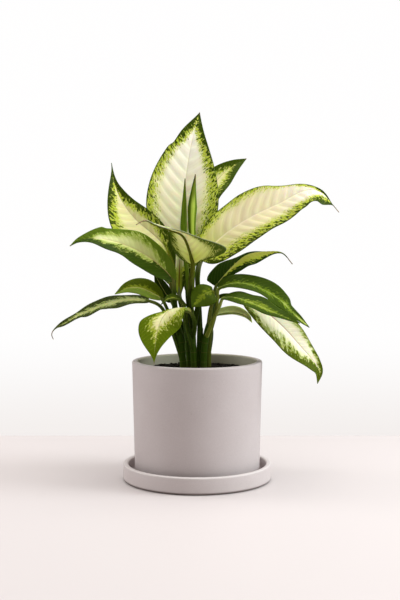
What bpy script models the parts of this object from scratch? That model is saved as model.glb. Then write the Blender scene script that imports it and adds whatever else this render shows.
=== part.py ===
"""Potted camilla dieffenbachia: a pot on its saucer, soil, and five canes with the leaves that grow on them.

Metres, +Z up. The origin is the centre of the saucer's underside, and the front of the plant looks along -Y.
The plant's places and sizes are given in millimetres, and metres() turns them into the scene's units.
"""

import math

import bmesh
import bpy
import numpy as np
from mathutils import Vector, noise

MM = 0.001
GAP = 0.0003

# Saucer and pot, turned about Z
SAUCER_RADIUS = 0.0868
SAUCER_FOOT_RADIUS = 0.084
SAUCER_HEIGHT = 0.0197
SAUCER_WALL = 0.0062
SAUCER_FLOOR = 0.006
POT_RADIUS = 0.076
POT_FOOT_RADIUS = 0.073
POT_RIM_Z = 0.1395
POT_WALL = 0.0078
POT_FLOOR = 0.009
DRAIN_RADIUS = 0.008
RIM_ROUND = 0.002
FOOT_ROUND = 0.0015
TURN_STEPS = 36
ROUND_STEPS = 3

# Soil
SOIL_Z = 0.128
SOIL_CROWN = 0.0025
SOIL_LUMP = 0.0012
SOIL_RINGS = 5

# Canes stand this deep, in millimetres
CANE_ROOT_UP = 106.0

# Places are read from the eye's height and distance, in millimetres
EYE_ACROSS, EYE_DISTANCE, EYE_UP = 3.3, 1283.0, 295.0

# Leaf tissue, in millimetres
BLADE_EDGE = 0.8
BLADE_RIB = 2.0
BASE_HALF_WIDTH = 2.4
TIP_HALF_WIDTH = 0.7
BLADE_COLUMNS = 4
STALK_STEPS = 8
STALK_SWELL = 0.9
TIP_SINK = 1.0
LINE_STEPS = 16
RIPPLE_SHIFT = 1.3

CERAMIC = dict(colour=(0.42, 0.37, 0.34), roughness=0.62)
SOIL = dict(colour=(0.018, 0.013, 0.010), roughness=0.95)
CANE = dict(colour=(0.10, 0.15, 0.035), roughness=0.5)
LEAF = dict(colour=(0.34, 0.42, 0.13), roughness=0.38)
SPEAR = dict(colour=(0.16, 0.27, 0.05), roughness=0.4)

# Each cane: radius at its foot and top, and its line as (across, depth, up)
CANES = {
    "left": (4.2, 3.7, [(-15.5, -3, 126), (-19, -3, 157), (-23.5, -3, 182)]),
    "back": (4.2, 3.6, [(-8, 7, 126), (-10.5, 8, 160), (-14, 9, 192)]),
    "centre": (4.2, 3.6, [(-3, -8, 126), (-5, -8, 160), (-6, -7, 190)]),
    "rear": (4.2, 3.6, [(2.5, 7, 126), (3, 8, 155), (3.5, 10, 178)]),
    "front": (4.2, 3.6, [(7, -9, 126), (8.5, -9, 155), (12, -8, 175), (16.5, -6, 188)]),
    "right": (4.2, 3.6, [(12.3, 4, 126), (13, 4, 160), (16.5, 4, 190)]),
}


def leaf(cane, foot, stalk, midrib, halves, face, peak=0.42, full=(0.7, 1.05), fold=(24, 8), wave=0.0,
         rows=12):
    """One leaf.

    cane, foot: the cane it grows from, and how high up it; a foot of None is the cane's own tip
    stalk, midrib: the lines that they follow, as (across, depth, up)
    halves: the widest measure of the half on each side of the midrib
    face: the way its upper side looks, from its base to its tip
    peak: how far along it is widest, and full: how full it is before and after that place. A list of
        either holds one value for each half
    fold: how far the halves fold up, in degrees, from base to tip
    wave: how far its edge rises and falls
    """
    return dict(cane=cane, foot=foot, stalk=stalk, midrib=midrib, halves=halves, face=face, peak=peak,
                full=full, fold=fold, wave=wave, rows=rows)


LEAVES = {
    "tall_centre": leaf(
        "back", None, [(-18, 9, 203)],
        [(-20.7, 9, 215), (-20.3, 12, 258), (-18, 14, 300), (-13.5, 16, 350), (-6, 19, 395), (3, 25, 427)],
        (44, 41.5), [(0.05, -1, 0.1), (0.1, -1, 0.15), (0.15, -1, 0.1)],
        peak=0.5, full=(1.25, 1.12), fold=(28, 8, 4), wave=1.2, rows=14),
    "tall_left": leaf(
        "left", None, [(-25.5, -2, 200), (-27, -2, 222)],
        [(-28, -2, 243), (-38, -1, 272), (-50, 0, 285), (-69, 0, 301), (-84, 2, 319), (-95, 4, 342),
         (-99, 5, 369)],
        (34, 19), [(0.1, -1, 0.2), (0, -1, 0.3), (0.6, -1, 0.2)],
        peak=0.45, full=(1.3, 1.9), fold=(20, 14), wave=1.2, rows=14),
    "behind_right": leaf(
        "back", 172, [(-9, 18, 194), (-11, 22, 215), (-11, 30, 255)],
        [(0, 40, 300), (12, 45, 335), (28, 50, 354), (43, 54, 366), (57, 58, 374)],
        (17, 21), [(-0.2, -1, 0.5), (-0.3, -1, 0.3)],
        peak=0.45, fold=(20, 14), wave=0.8, rows=10),
    "broad_right": leaf(
        "centre", 170, [(-1, -1, 192), (1.5, -2, 214), (1, -6, 238)],
        [(5, -8, 256), (28, -6, 283), (60, -4, 305), (95, -2, 322), (126, -2, 337), (143, -3, 335),
         (156, -3, 322), (164.5, -3, 312)],
        (31, 31), [(-0.3, -1, 0), (-0.3, -1, 0.4), (0.1, -0.8, 0.7), (0.4, -1, 0.4)],
        peak=[0.45, 0.34], full=[(0.6, 2.8), (0.6, 0.58)], fold=(10, 8), wave=1.5, rows=15),
    "front_high": leaf(
        "centre", 178, [(-8.6, -16, 200), (-8, -19, 228)],
        [(-5, -19, 251), (-8, -26, 268), (-16, -38, 286), (-32, -57, 293), (-50, -74, 299), (-60, -83, 303),
         (-71, -92, 298)],
        (46, 24), [(0.2, 1, 0.4), (0.65, 0.65, 0.6), (0.65, 0.35, 0.8), (0.2, 0.1, 1)],
        peak=[0.18, 0.27], full=[(5, 5), (1.5, 2.3)], fold=(0, 6), wave=0.8, rows=14),
    "arching_left": leaf(
        "left", 168, [(-25, -11.6, 187), (-27.5, -12.6, 212)],
        [(-28, -14, 232), (-42, -18, 249), (-66, -24, 266), (-92, -29, 277), (-120, -33, 282),
         (-138, -34, 279), (-148, -34, 273)],
        (24, 20), [(0.2, -1, 0.4), (-0.1, -1, 0.8), (-0.2, -0.8, 0.9)],
        full=(0.85, 1.15), fold=(24, 14), wave=1.4, rows=13),
    "lower_left": leaf(
        "left", 158, [(-27, 6, 180), (-36, 8, 202)],
        [(-41, 8, 211), (-52, 9, 218), (-66, 10, 224), (-80, 10, 224), (-96, 9, 217)],
        (14, 14), [(-0.1, -0.8, 0.8), (-0.2, -0.7, 0.9)],
        full=(0.85, 1), fold=(20, 10), rows=9),
    "drooping_left": leaf(
        "left", 138, [(-28.5, -5, 172), (-42, -11, 202)],
        [(-56, -14, 209), (-78, -17, 210), (-100, -19, 207), (-120, -21, 200), (-140, -22, 191),
         (-156, -23, 182), (-167, -23, 176), (-170, -23, 170), (-168, -23, 164)],
        (16, 11), [(-0.1, -0.5, 1), (-0.2, -0.6, 1), (-0.5, -0.5, 0.8)],
        peak=0.38, full=(0.6, 1.3), fold=(10, 12), wave=0.8, rows=14),
    "front_low": leaf(
        "centre", 165, [(-3, -18.5, 184)],
        [(-8, -25, 196), (-20, -36, 201), (-32, -46, 198), (-40, -52, 190), (-45, -56, 179),
         (-48.5, -60, 162), (-50.5, -63, 135)],
        (23, 22), [(0, 0, 1), (0, 0, 1), (0.1, -0.9, 0.25), (0, -1, 0.2), (-0.2, -1, 0.1)],
        peak=[0.45, 0.6], full=[(1.2, 1.9), (8, 1.9)], fold=(2, 10), wave=0.8, rows=13),
    "small_left": leaf(
        "back", 160, [(-22, 15, 192)],
        [(-30, 18, 208), (-38, 19, 220), (-50, 19, 241)],
        (8, 8), [(-0.2, -1, 0.4), (-0.2, -1, 0.4)], rows=7),
    "small_centre": leaf(
        "centre", 148, [(-12.6, -14.4, 178), (-14.4, -15.4, 190)],
        [(-15, -18, 201), (-18, -22, 208), (-25, -27, 212), (-34, -31, 211), (-42, -34, 205)],
        (8, 8), [(-0.1, -0.5, 1), (-0.3, -0.5, 1)], rows=7),
    "narrow_right": leaf(
        "right", None, [(18.5, 5, 207)],
        [(22, 6, 226), (31, 6, 238), (42, 5.5, 250), (58, 4, 262.5), (80, 1, 266.5), (99, -3, 265),
         (111, -4, 252)],
        (19, 18), [(-0.5, -0.7, 0.5), (-0.4, -0.6, 0.8), (0.2, -0.6, 0.8)],
        peak=[0.16, 0.47], full=[(0.5, 5), (1.7, 4)], fold=(12, -30), wave=0.6, rows=13),
    "drooping_right": leaf(
        "right", 169, [(21.5, -2, 196), (23.5, -8, 211)],
        [(25, -13, 223), (38, -16, 229), (57, -18, 229), (81, -20, 220), (99, -21, 208), (116, -22, 191),
         (131, -22, 178)],
        (17, 18), [(0.1, -0.5, 1), (0.2, -0.6, 0.9), (0.4, -0.7, 0.6)],
        peak=0.4, fold=(16, 10), wave=1.5, rows=12),
    "under_right": leaf(
        "front", 166, [(20, -20, 190), (26, -27, 203)],
        [(30, -31, 212), (44, -40, 213), (62, -48, 207), (81, -54, 199), (100, -58, 191), (120, -60, 183)],
        (15, 12), [(0.1, -0.5, 1), (0.2, -0.6, 0.9), (0.3, -0.7, 0.6)],
        peak=[0.4, 0.3], full=[(0.7, 1.05), (0.4, 1)], fold=(8, 8), wave=1, rows=11),
    "low_right": leaf(
        "right", 158, [(15.5, 12, 182), (18, 13, 203), (26, 12.5, 214), (40, 10, 215.5)],
        [(54, 7, 210), (81, 1, 195), (100, -4, 179), (119, -8, 158), (137, -11, 137), (143, -12, 126),
         (141, -12, 112)],
        (16, 25), [(0.2, -0.9, 0.7), (0.35, -1, 0.4), (0.4, -1, 0.1)],
        full=(0.75, 1.05), fold=(14, 8), wave=1.2, rows=14),
    "small_front": leaf(
        "front", 180, [(15.5, -13, 198), (18.5, -18, 211)],
        [(18, -20, 220), (10, -28, 218), (2, -35, 211), (-6, -42, 202)],
        (18, 14), [(-0.1, -1, 0.6), (-0.1, -1, 0.4)], fold=(8, 4), rows=8),
    "back_low": leaf(
        "right", 140, [(17, 17, 172)],
        [(15, 26, 189.5), (29, 34, 195), (46, 42, 195.5), (58, 47, 191), (64, 50, 184)],
        (11, 12), [(-0.1, 0.6, 1), (0.3, 0.6, 0.7)], fold=(14, 8), rows=8),
    "back_high": leaf(
        "back", 156, [(-4, 20, 180), (-9, 28, 212)],
        [(-16, 36, 236), (-20, 52, 268), (-25, 78, 294), (-26, 104, 300), (-24, 126, 290)],
        (27, 27), [(0, 0.3, 1), (0, 0.5, 1), (0, 0.9, 0.6)], fold=(20, 10), wave=1.2, rows=12),
    "back_left": leaf(
        "back", 140, [(-19, 20, 175), (-26, 30, 205)],
        [(-31, 34, 228), (-42, 46, 250), (-58, 64, 265), (-74, 82, 272), (-88, 96, 268)],
        (21, 21), [(-0.2, 0.2, 1), (-0.3, 0.3, 1), (-0.4, 0.5, 0.8)], fold=(14, 8), wave=1, rows=11),
    "back_right": leaf(
        "rear", None, [(2.5, 14, 200), (0.5, 19, 222), (0, 25, 243)],
        [(5, 32, 264), (20, 43, 285), (42, 62, 304), (68, 84, 315), (92, 98, 316)],
        (23, 23), [(0.2, 0.2, 1), (0.2, 0.4, 1), (0.4, 0.6, 0.8)], fold=(16, 8), wave=1, rows=12),
}

# Each rolled leaf: its cane and foot, then its line and the radius at each place on it, the foot's first
SPEARS = {
    "left": (
        "back", 180,
        [(-9.5, 2, 203), (-11, -1, 232), (-14, -1, 265), (-15.5, 0, 295), (-15, 0, 320), (-14, 0, 351)],
        [2, 2, 2.2, 3, 4, 3, 0.5]),
    "right": (
        "centre", None,
        [(-6, -5, 210), (-5, -2, 232), (-4, 0, 262), (-6, 0, 295), (-5.5, 0, 318), (-4, 0, 338),
         (-2, 1, 356)],
        [2.4, 2.2, 2.2, 2.6, 4.4, 5.6, 3, 0.5]),
}


# Scene and object helpers

def clear_scene():
    for old in list(bpy.data.objects):
        bpy.data.objects.remove(old, do_unlink=True)


def new_collection(name):
    made = bpy.data.collections.new(name)
    bpy.context.scene.collection.children.link(made)
    return made


def material(name, look):
    made = bpy.data.materials.new(name)
    made.use_nodes = True
    shader = made.node_tree.nodes["Principled BSDF"]
    shader.inputs["Base Color"].default_value = (*look["colour"], 1.0)
    shader.inputs["Roughness"].default_value = look["roughness"]
    shader.inputs["Metallic"].default_value = 0.0
    made.diffuse_color = (*look["colour"], 1.0)
    return made


def add_object(name, mesh, collection):
    made = bpy.data.objects.new(name, mesh)
    collection.objects.link(made)
    return made


def evaluated_mesh(obj):
    bpy.context.view_layer.update()
    seen = obj.evaluated_get(bpy.context.evaluated_depsgraph_get())
    return bpy.data.meshes.new_from_object(seen)


def bake_modifiers(obj):
    """Give the object the mesh that its modifiers make, and take them off it."""
    made = evaluated_mesh(obj)
    obj.modifiers.clear()
    obj.data = made


def boolean(obj, operation, tool):
    step = obj.modifiers.new(operation.lower(), "BOOLEAN")
    step.operation = operation
    step.object = tool
    bake_modifiers(obj)
    bpy.data.objects.remove(tool, do_unlink=True)


def finish_part(obj, look, smooth_angle=40):
    obj.data.materials.clear()
    obj.data.materials.append(material(obj.name, look))
    obj.data.shade_smooth()
    obj.data.set_sharp_from_angle(angle=math.radians(smooth_angle))


# Lines

def metres(points):
    return [Vector(p) * MM for p in points]


def sight(place):
    """The place at this depth on the line from the eye through (across, up) in the plane of the pot."""
    across, depth, up = place
    scale = 1 + depth / EYE_DISTANCE
    return np.array([EYE_ACROSS + (across - EYE_ACROSS) * scale, depth, EYE_UP + (up - EYE_UP) * scale])


def smooth_line(points):
    """Close points along a smooth line through these, with LINE_STEPS of them to each stretch."""
    given = np.array(points, float)
    reach = np.linalg.norm(np.diff(given, axis=0), axis=1)
    knots = np.concatenate([[0], np.cumsum(np.sqrt(reach))])
    slope = np.gradient(given, knots, axis=0)
    line = [given[0]]
    for i, stretch in enumerate(np.diff(knots)):
        for step in range(1, LINE_STEPS + 1):
            t = step / LINE_STEPS
            ahead = t * t * (3 - 2 * t)
            place = (1 - ahead) * given[i] + ahead * given[i + 1]
            place = place + stretch * t * (1 - t) * ((1 - t) * slope[i] - t * slope[i + 1])
            line.append(place)
    return np.array(line)


def distances(line):
    return np.concatenate([[0], np.cumsum(np.linalg.norm(np.diff(line, axis=0), axis=1))])


def along_line(line, share):
    """The places at these shares of the line's length."""
    run = distances(line)
    return np.stack([np.interp(share * run[-1], run, line[:, k]) for k in range(3)], axis=1)


def tube(name, places, radii, sides_level, collection):
    """A closed round tube through these places in millimetres, as a mesh object."""
    curve = bpy.data.curves.new(name, "CURVE")
    curve.dimensions = "3D"
    curve.bevel_depth = MM
    curve.bevel_resolution = sides_level
    curve.use_fill_caps = True
    spline = curve.splines.new("POLY")
    spline.points.add(len(places) - 1)
    for point, place, radius in zip(spline.points, metres(places), radii):
        point.co = (*place, 1.0)
        point.radius = radius
    guide = add_object(name + "_line", curve, collection)
    mesh = evaluated_mesh(guide)
    made = add_object(name, mesh, collection)
    made.matrix_world = guide.matrix_world
    bpy.data.objects.remove(guide, do_unlink=True)
    weld(mesh)
    return made


def weld(mesh):
    shape = bmesh.new()
    shape.from_mesh(mesh)
    bmesh.ops.remove_doubles(shape, verts=shape.verts, dist=GAP / 100)
    bmesh.ops.recalc_face_normals(shape, faces=shape.faces)
    shape.to_mesh(mesh)
    shape.free()


# Turned pieces

def arc(radius, height, size, start, end):
    """Places round (radius, height) on a turned profile, from one angle in degrees to another."""
    angles = np.radians(np.linspace(start, end, ROUND_STEPS + 1))
    return [(radius + size * math.cos(angle), height + size * math.sin(angle)) for angle in angles]


def rim(inner, outer, height):
    """The rounded upper edge of a wall, from its inner side over to its outer side."""
    centre = height - RIM_ROUND
    inner_turn = arc(inner + RIM_ROUND, centre, RIM_ROUND, 180, 90)
    return inner_turn + arc(outer - RIM_ROUND, centre, RIM_ROUND, 90, 0)


def turned(name, profile, collection, closed=False):
    """A profile of (radius, height), running down its outer side, turned about Z."""
    mesh = bpy.data.meshes.new(name)
    edges = [(i, i + 1) for i in range(len(profile) - 1)]
    if closed:
        edges.append((len(profile) - 1, 0))
    mesh.from_pydata([(radius, 0, height) for radius, height in profile], edges, [])
    made = add_object(name, mesh, collection)
    screw = made.modifiers.new("turn", "SCREW")
    screw.steps = TURN_STEPS
    screw.render_steps = TURN_STEPS
    screw.use_merge_vertices = True
    screw.merge_threshold = GAP / 10
    bake_modifiers(made)
    return made


def pot_outer_radius(height):
    share = (height - SAUCER_FLOOR) / (POT_RIM_Z - SAUCER_FLOOR)
    return POT_FOOT_RADIUS + (POT_RADIUS - POT_FOOT_RADIUS) * share


def build_saucer(parts):
    rim_in = SAUCER_RADIUS - SAUCER_WALL
    profile = [(0, SAUCER_FLOOR), (rim_in - 2 * FOOT_ROUND, SAUCER_FLOOR)]
    profile += [(rim_in, SAUCER_FLOOR + 2 * FOOT_ROUND)]
    profile += rim(rim_in, SAUCER_RADIUS, SAUCER_HEIGHT)
    profile += [(SAUCER_RADIUS, SAUCER_FLOOR / 2), (SAUCER_FOOT_RADIUS, 0), (0, 0)]
    return turned("saucer", profile, parts)


def build_pot(parts):
    foot = SAUCER_FLOOR + GAP
    floor = foot + POT_FLOOR
    floor_radius = pot_outer_radius(floor) - POT_WALL
    profile = rim(POT_RADIUS - POT_WALL, POT_RADIUS, POT_RIM_Z)
    profile += arc(POT_FOOT_RADIUS - FOOT_ROUND, foot + FOOT_ROUND, FOOT_ROUND, 0, -90)
    profile += [(DRAIN_RADIUS, foot), (DRAIN_RADIUS, floor), (floor_radius, floor)]
    return turned("pot", profile, parts, closed=True)


def build_soil(parts, helpers):
    bottom = SAUCER_FLOOR + GAP + POT_FLOOR + GAP
    top_radius = pot_outer_radius(SOIL_Z) - POT_WALL - GAP
    rings = [top_radius * k / SOIL_RINGS for k in range(SOIL_RINGS + 1)]
    profile = [(r, SOIL_Z + SOIL_CROWN * (1 - (r / top_radius) ** 2)) for r in rings]
    profile += [(pot_outer_radius(bottom) - POT_WALL - 2 * GAP, bottom), (0, bottom)]
    soil = turned("soil", profile, parts)
    for point in soil.data.vertices:
        inside = math.hypot(point.co.x, point.co.y) < 0.95 * top_radius
        if inside and point.co.z > SOIL_Z - SOIL_LUMP:
            point.co.z += SOIL_LUMP * noise.noise(point.co / 0.011)
    for name in CANES:
        boolean(soil, "DIFFERENCE", cane_tube("hole_" + name, name, GAP / MM, helpers))
    return soil


# Canes

def cane_line(name):
    low, high, reading = CANES[name]
    places = smooth_line([sight(place) for place in reading])
    root = [places[0][0], places[0][1], CANE_ROOT_UP]
    line = np.concatenate([[root], places])
    return line, np.interp(distances(line), [0, distances(line)[-1]], [low, high])


def cane_tube(piece, name, growth, collection):
    """A cane as a tube. With growth it is that much thicker and longer all round."""
    line, radii = cane_line(name)
    keep = np.linspace(0, len(line) - 1, 7).round().astype(int)
    places, radii = line[keep], radii[keep] + growth
    for end, inner in ((0, 1), (-1, -2)):
        out = places[end] - places[inner]
        places[end] += out / np.linalg.norm(out) * growth
    return tube(piece, places, radii, 2, collection)


# Leaves

def foot_place(cane, foot):
    line, _ = cane_line(cane)
    if foot is None:
        out = line[-1] - line[-2]
        return line[-1] - out / np.linalg.norm(out) * TIP_SINK
    return np.array([np.interp(foot, line[:, 2], line[:, k]) for k in range(3)])


def leaf_lines(spec):
    """The stalk's line and the midrib's, which run on into each other."""
    stalk = [foot_place(spec["cane"], spec["foot"])] + [sight(place) for place in spec["stalk"]]
    line = smooth_line(stalk + [sight(place) for place in spec["midrib"]])
    base = len(stalk) * LINE_STEPS
    return line[:base + 1], line[base:]


def spread(rows):
    """Shares from 0 to 1, closer together at the ends."""
    even = np.linspace(0, 1, rows + 1)
    return 0.6 * even + 0.2 * (1 - np.cos(np.pi * even))


def between(values, share):
    """Values given evenly from base to tip, read at these shares."""
    values = np.atleast_2d(np.array(values, float).T).T
    at = np.linspace(0, 1, len(values))
    return np.stack([np.interp(share, at, values[:, k]) for k in range(values.shape[1])], axis=1)


def unit(vectors):
    return vectors / np.linalg.norm(vectors, axis=1)[:, None]


def blade_frames(spec, share):
    """The midrib's places, and the ways its upper side and its second half look there."""
    _, line = leaf_lines(spec)
    rib = along_line(line, share)
    forward = unit(np.gradient(rib, axis=0))
    face = between(unit(np.array(spec["face"], float)), share)
    face = unit(face - (face * forward).sum(axis=1)[:, None] * forward)
    return rib, face, np.cross(forward, face)


def of_half(given, half):
    """A list holds one value for each half of a blade."""
    return given[half] if isinstance(given, list) else given


def half_width(spec, share, half):
    peak = of_half(spec["peak"], half)
    bend = math.log(0.5) / math.log(peak)
    swell = np.sin(np.pi * np.clip(share, 1e-6, 1 - 1e-6) ** bend)
    before, after = of_half(spec["full"], half)
    shape = np.where(share < peak, swell ** before, swell ** after)
    least = BASE_HALF_WIDTH + (TIP_HALF_WIDTH - BASE_HALF_WIDTH) * share
    return least + (spec["halves"][half] - least) * shape


def blade_places(spec, rows, columns):
    """The blade's middle surface: row by row from base to tip, each from one edge to the other."""
    share = spread(rows)
    rib, face, side = blade_frames(spec, share)
    fold = np.radians(between(spec["fold"], share)[:, 0])
    places = np.zeros((rows + 1, columns + 1, 3))
    for column, across in enumerate(np.linspace(-1, 1, columns + 1)):
        half = int(across > 0)
        width = half_width(spec, share, half) * abs(across)
        ripple = np.sin(5 * np.pi * share + half * RIPPLE_SHIFT) * np.sin(np.pi * share)
        rise = width * np.sin(fold) + spec["wave"] * across ** 2 * ripple
        run = width * np.cos(fold) * np.sign(across)
        places[:, column] = rib + side * run[:, None] + face * rise[:, None]
    return places


def build_blade(name, spec, parts):
    rows = spec["rows"]
    places = blade_places(spec, rows, BLADE_COLUMNS) * MM
    shape = bmesh.new()
    bmesh.ops.create_grid(shape, x_segments=rows, y_segments=BLADE_COLUMNS, size=0.5)
    shape.verts.index_update()
    ribs = []
    for point in shape.verts:
        row = round((point.co.x + 0.5) * rows)
        column = round((point.co.y + 0.5) * BLADE_COLUMNS)
        point.co = places[row, column]
        if column == BLADE_COLUMNS // 2:
            ribs.append(point.index)
    bmesh.ops.triangulate(shape, faces=shape.faces, quad_method="SHORT_EDGE")
    mesh = bpy.data.meshes.new(name)
    shape.to_mesh(mesh)
    shape.free()
    blade = add_object(name, mesh, parts)
    blade.vertex_groups.new(name="rib").add(ribs, 1.0, "REPLACE")
    thick = blade.modifiers.new("thickness", "SOLIDIFY")
    thick.thickness = BLADE_RIB * MM
    thick.offset = 0
    thick.vertex_group = "rib"
    thick.thickness_vertex_group = BLADE_EDGE / BLADE_RIB
    bake_modifiers(blade)
    weld(blade.data)
    return blade


def neck_radius(spec):
    return 1.5 + max(spec["halves"]) / 40


def build_stalk(name, spec, helpers):
    """The stalk, which runs on under the midrib and thins out inside the blade."""
    line, _ = leaf_lines(spec)
    share = np.linspace(0, 1, STALK_STEPS + 1)
    neck = neck_radius(spec)
    rib, face, _ = blade_frames(spec, spread(40))
    inner = [1, 4, 8]
    sunk_radii = np.array([0.95, 0.7, 0.3]) * neck
    sunk_depth = np.array([0.35, 0.45, 0.1]) * neck
    sunk = rib[inner] - face[inner] * sunk_depth[:, None]
    places = np.concatenate([along_line(line, share), sunk])
    radii = np.concatenate([neck + STALK_SWELL * (1 - share), sunk_radii])
    return tube(name + "_stalk", places, radii, 2, helpers)


def build_leaf(name, spec, parts, helpers):
    blade = build_blade("leaf_" + name, spec, parts)
    boolean(blade, "UNION", build_stalk(name, spec, helpers))
    boolean(blade, "DIFFERENCE", cane_tube("cope_" + name, spec["cane"], GAP / MM, helpers))
    return blade


def build_spear(name, parts, helpers):
    cane, foot, reading, radii = SPEARS[name]
    given = [foot_place(cane, foot)] + [sight(place) for place in reading]
    line = smooth_line(given)
    keep = np.arange(0, len(line), LINE_STEPS // 2)
    thick = np.interp(keep / LINE_STEPS, range(len(radii)), radii)
    spear = tube("spear_" + name, line[keep], thick, 2, parts)
    boolean(spear, "DIFFERENCE", cane_tube("cope_spear_" + name, cane, GAP / MM, helpers))
    return spear


def main():
    clear_scene()
    parts = new_collection("potted_dieffenbachia")
    helpers = new_collection("cutters")
    helpers.hide_render = True
    finish_part(build_saucer(parts), CERAMIC)
    finish_part(build_pot(parts), CERAMIC)
    finish_part(build_soil(parts, helpers), SOIL)
    for name in CANES:
        finish_part(cane_tube("cane_" + name, name, 0, parts), CANE)
    for name, spec in LEAVES.items():
        finish_part(build_leaf(name, spec, parts, helpers), LEAF)
    for name in SPEARS:
        finish_part(build_spear(name, parts, helpers), SPEAR)


main()
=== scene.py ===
"""Looks of the potted camilla dieffenbachia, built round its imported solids.

The plant's places are in millimetres, read from the eye's height and distance as in the part, and MM turns
them into the scene's metres. Each leaf, cane, new leaf, pot, saucer and the soil is remade with a finer mesh
along the same lines, and stands for its solid.
"""

import math

import bpy
import numpy as np
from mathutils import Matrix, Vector, noise


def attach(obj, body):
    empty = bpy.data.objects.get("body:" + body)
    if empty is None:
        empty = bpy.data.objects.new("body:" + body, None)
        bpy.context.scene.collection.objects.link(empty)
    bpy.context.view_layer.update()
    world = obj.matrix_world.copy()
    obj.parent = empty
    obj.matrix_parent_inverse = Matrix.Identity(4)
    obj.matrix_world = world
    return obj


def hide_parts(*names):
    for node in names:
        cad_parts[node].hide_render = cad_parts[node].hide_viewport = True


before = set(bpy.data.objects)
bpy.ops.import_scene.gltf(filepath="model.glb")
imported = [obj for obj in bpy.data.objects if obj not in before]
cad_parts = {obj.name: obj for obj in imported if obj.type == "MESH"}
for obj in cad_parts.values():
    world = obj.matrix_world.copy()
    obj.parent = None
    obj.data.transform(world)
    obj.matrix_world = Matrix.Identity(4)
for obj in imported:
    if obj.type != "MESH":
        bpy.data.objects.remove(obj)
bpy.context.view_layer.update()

MM = 0.001

# Places are read from the eye's height and distance
EYE_ACROSS, EYE_DISTANCE, EYE_UP = 3.3, 1283.0, 295.0
EYE_PITCH = 0.066
LENS, SENSOR = 66.2, 36.0

# The plant's tissue
BASE_HALF_WIDTH, TIP_HALF_WIDTH = 2.4, 0.3
LINE_STEPS = 16
RIPPLE_SHIFT = 1.3
STALK_SWELL = 0.9
TIP_SINK = 1.0
CANE_RING = 11
VEIN_LEAN, VEIN_CURVE, LEAST_VEIN_SPACING = 0.62, 0.42, 3.5

# Fineness of the meshes
ROW_STEP, COLUMN_STEP = 1.5, 1.7
STALK_STEP, CANE_STEP = 2.0, 0.9
SPEAR_ROWS = 120
STALK_SIDES = 24
ANGLES = np.linspace(0, 2 * np.pi, STALK_SIDES, endpoint=False)
LATHE_SIDES, PROFILE_STEP = 144, 8.0
SOIL_RINGS, SOIL_SIDES = 56, 160
CRUMBS, CRUMB_RINGS, CRUMB_SIDES = 620, 5, 8
KEEL_ROWS = 61

# Saucer, pot and soil
SAUCER_RADIUS, SAUCER_FOOT_RADIUS, SAUCER_HEIGHT = 86.8, 84.0, 19.7
SAUCER_WALL, SAUCER_FLOOR = 6.2, 6.0
POT_RADIUS, POT_FOOT_RADIUS, POT_RIM_UP = 76.0, 73.0, 139.5
POT_WALL, POT_FLOOR, DRAIN_RADIUS = 7.8, 9.0, 8.0
RIM_ROUND, POT_FOOT_ROUND, SAUCER_ROUND = 2.0, 1.5, 3.0
NEAR_AXIS = 0.5
GAP = 0.3
SOIL_UP, SOIL_CROWN = 128.0, 2.5
CRUMB_CLEARANCE = 4

# How wide the marks take a stalk and a rod to be, and the seeds
STALK_MARKS, ROD_MARKS = 6, 5
FIRST_LEAF_SEED, LEAF_SEED_STEP, CRUMB_SEED = 3.0, 11.3, 11


# Lines

def sight(place):
    across, depth, up = place
    scale = 1 + depth / EYE_DISTANCE
    return np.array([EYE_ACROSS + (across - EYE_ACROSS) * scale, depth, EYE_UP + (up - EYE_UP) * scale])


def smooth_line(points):
    given = np.array(points, float)
    reach = np.linalg.norm(np.diff(given, axis=0), axis=1)
    knots = np.concatenate([[0], np.cumsum(np.sqrt(reach))])
    slope = np.gradient(given, knots, axis=0)
    line = [given[0]]
    for i, stretch in enumerate(np.diff(knots)):
        for step in range(1, LINE_STEPS + 1):
            t = step / LINE_STEPS
            ahead = t * t * (3 - 2 * t)
            place = (1 - ahead) * given[i] + ahead * given[i + 1]
            place = place + stretch * t * (1 - t) * ((1 - t) * slope[i] - t * slope[i + 1])
            line.append(place)
    return np.array(line)


def distances(line):
    return np.concatenate([[0], np.cumsum(np.linalg.norm(np.diff(line, axis=0), axis=1))])


def along_line(line, share):
    run = distances(line)
    return np.stack([np.interp(share * run[-1], run, line[:, k]) for k in range(3)], axis=1)


def unit(vectors):
    return vectors / np.linalg.norm(vectors, axis=-1, keepdims=True)


def between(values, share):
    values = np.atleast_2d(np.array(values, float).T).T
    at = np.linspace(0, 1, len(values))
    return np.stack([np.interp(share, at, values[:, k]) for k in range(values.shape[1])], axis=1)


def ease(low, high, value):
    t = np.clip((value - low) / (high - low), 0, 1)
    return t * t * (3 - 2 * t)


# The plant. Places are (across, depth, up) as the eye reads them

# Radii at the soil and at the end, and the line
CANES = {
    "left": (4.2, 3.7, [(-15.5, -3, 126), (-19, -3, 157), (-23.5, -3, 182)]),
    "back": (4.2, 3.6, [(-8, 7, 126), (-10.5, 8, 160), (-14, 9, 192)]),
    "centre": (4.2, 3.6, [(-3, -8, 126), (-5, -8, 160), (-6, -7, 190)]),
    "rear": (4.2, 3.6, [(2.5, 7, 126), (3, 8, 155), (3.5, 10, 178)]),
    "front": (4.2, 3.6, [(7, -9, 126), (8.5, -9, 155), (12, -8, 175), (16.5, -6, 188)]),
    "right": (4.2, 3.6, [(12.3, 4, 126), (13, 4, 160), (16.5, 4, 190)]),
}
CANE_ROOT_UP = 106.0

# The darkest and the lightest tissue. The lit right cane is painted lighter, the others darker as painted shade
LIT_AND_SHADED_CANE_TONES = {
    "right": ((0.035, 0.060, 0.005), (0.155, 0.190, 0.022)),
    "other": ((0.014, 0.040, 0.002), (0.060, 0.115, 0.007)),
}

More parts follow.
